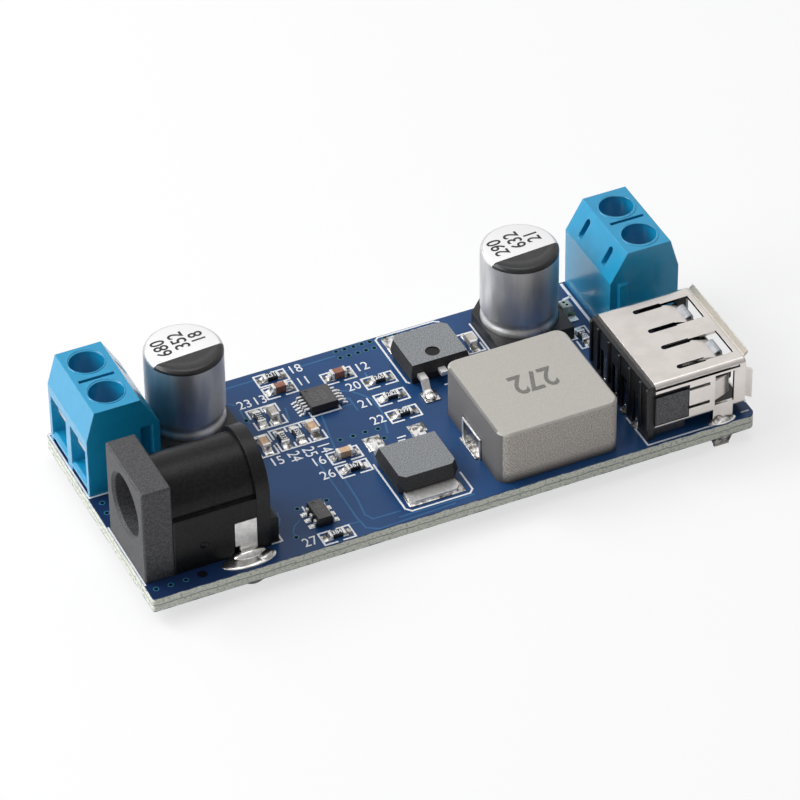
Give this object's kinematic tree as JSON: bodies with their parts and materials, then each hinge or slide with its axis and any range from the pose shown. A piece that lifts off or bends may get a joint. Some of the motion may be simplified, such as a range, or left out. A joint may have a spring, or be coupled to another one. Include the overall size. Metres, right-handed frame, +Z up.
{
  "type": "step-down power converter module",
  "caption": "Populated circuit board that steps a supply voltage down, with screw terminals and a barrel jack at one end and a screw terminal and USB socket at the other.",
  "frame": {"origin": "centre of the board's outline, level with the tips of the pins under the board", "axes": "+X along the board from the input end to the output end, +Y from the front edge to the back edge, +Z up"},
  "size_m": [0.0648, 0.0274, 0.014],
  "materials": {
    "board": "solder mask over glass fibre",
    "terminal_housing": "moulded",
    "terminal_contacts": "tinned",
    "screw": "plated",
    "guard": "plated",
    "jack_plastic": "moulded",
    "jack_metal": "plated",
    "usb_shell": "nickel plated",
    "usb_insulator": "moulded",
    "usb_contacts": "plated",
    "can": "satin",
    "capacitor_base": "moulded",
    "leads": "tinned",
    "inductor_core": "pressed iron powder",
    "chip_body": "moulded",
    "resistor": "glazed ceramic",
    "ceramic_capacitor": "ceramic",
    "lamp_base": "laminate",
    "lamp_lens": "clear resin",
    "solder": "solder"
  },
  "bodies": {
    "module": {"board": "board", "ceramic_capacitor_1": "ceramic_capacitor", "ceramic_capacitor_2": "ceramic_capacitor", "ceramic_capacitor_3": "ceramic_capacitor", "ceramic_capacitor_4": "ceramic_capacitor", "ceramic_capacitor_5": "ceramic_capacitor", "ceramic_capacitor_6": "ceramic_capacitor", "ceramic_capacitor_7": "ceramic_capacitor", "charging_chip_body": "chip_body", "charging_chip_leads": "leads", "controller_body": "chip_body", "controller_leads": "leads", "high_side_transistor_body": "chip_body", "high_side_transistor_leads": "leads", "inductor_core": "inductor_core", "inductor_terminals": "leads", "input_capacitor_base": "capacitor_base", "input_capacitor_can": "can", "input_capacitor_leads": "leads", "input_terminal_contacts": "terminal_contacts", "input_terminal_housing": "terminal_housing", "jack_centre_pin": "jack_metal", "jack_housing": "jack_plastic", "jack_rear_cap": "jack_plastic", "jack_sleeve_spring": "jack_metal", "jack_switch_contact": "jack_metal", "lamp_base": "lamp_base", "lamp_lens": "lamp_lens", "low_side_transistor_body": "chip_body", "low_side_transistor_leads": "leads", "output_capacitor_base": "capacitor_base", "output_capacitor_can": "can", "output_capacitor_leads": "leads", "output_terminal_contacts": "terminal_contacts", "output_terminal_housing": "terminal_housing", "resistor_1": "resistor", "resistor_10": "resistor", "resistor_2": "resistor", "resistor_3": "resistor", "resistor_4": "resistor", "resistor_5": "resistor", "resistor_6": "resistor", "resistor_7": "resistor", "resistor_8": "resistor", "resistor_9": "resistor", "solder_joints": "solder", "usb_contacts": "usb_contacts", "usb_insulator": "usb_insulator", "usb_shell": "usb_shell"},
    "input_guard_1": {"input_guard_1": "guard"},
    "input_guard_2": {"input_guard_2": "guard"},
    "input_screw_1": {"input_screw_1": "screw"},
    "input_screw_2": {"input_screw_2": "screw"},
    "output_guard_1": {"output_guard_1": "guard"},
    "output_guard_2": {"output_guard_2": "guard"},
    "output_screw_1": {"output_screw_1": "screw"},
    "output_screw_2": {"output_screw_2": "screw"}
  },
  "joints": [
    {"name": "input_guard_1_slide", "type": "slide", "parent": "module", "child": "input_guard_1", "axis": [0, 0, 1], "range_m": [0, 0.002]},
    {"name": "input_screw_1_turn", "type": "hinge", "parent": "input_guard_1", "child": "input_screw_1", "pos_m": [-0.02888, 0.00543, 0.009], "axis": [0, 0, 1], "range_deg": [0, 1440.5]},
    {"name": "input_guard_2_slide", "type": "slide", "parent": "module", "child": "input_guard_2", "axis": [0, 0, 1], "range_m": [0, 0.002]},
    {"name": "input_screw_2_turn", "type": "hinge", "parent": "input_guard_2", "child": "input_screw_2", "pos_m": [-0.02888, 0.01051, 0.009], "axis": [0, 0, 1], "range_deg": [0, 1440.5]},
    {"name": "output_guard_1_slide", "type": "slide", "parent": "module", "child": "output_guard_1", "axis": [0, 0, 1], "range_m": [0, 0.002]},
    {"name": "output_screw_1_turn", "type": "hinge", "parent": "output_guard_1", "child": "output_screw_1", "pos_m": [0.02907, 0.01096, 0.009], "axis": [0, 0, 1], "range_deg": [0, 1440.5]},
    {"name": "output_guard_2_slide", "type": "slide", "parent": "module", "child": "output_guard_2", "axis": [0, 0, 1], "range_m": [0, 0.002]},
    {"name": "output_screw_2_turn", "type": "hinge", "parent": "output_guard_2", "child": "output_screw_2", "pos_m": [0.02907, 0.00588, 0.009], "axis": [0, 0, 1], "range_deg": [0, 1440.5]}
  ],
  "couplings": [
    {"joint": "input_screw_1_turn", "follows": "input_guard_1_slide", "rad_per_m": 12566},
    {"joint": "input_screw_2_turn", "follows": "input_guard_2_slide", "rad_per_m": 12566},
    {"joint": "output_screw_1_turn", "follows": "output_guard_1_slide", "rad_per_m": 12566},
    {"joint": "output_screw_2_turn", "follows": "output_guard_2_slide", "rad_per_m": 12566}
  ]
}
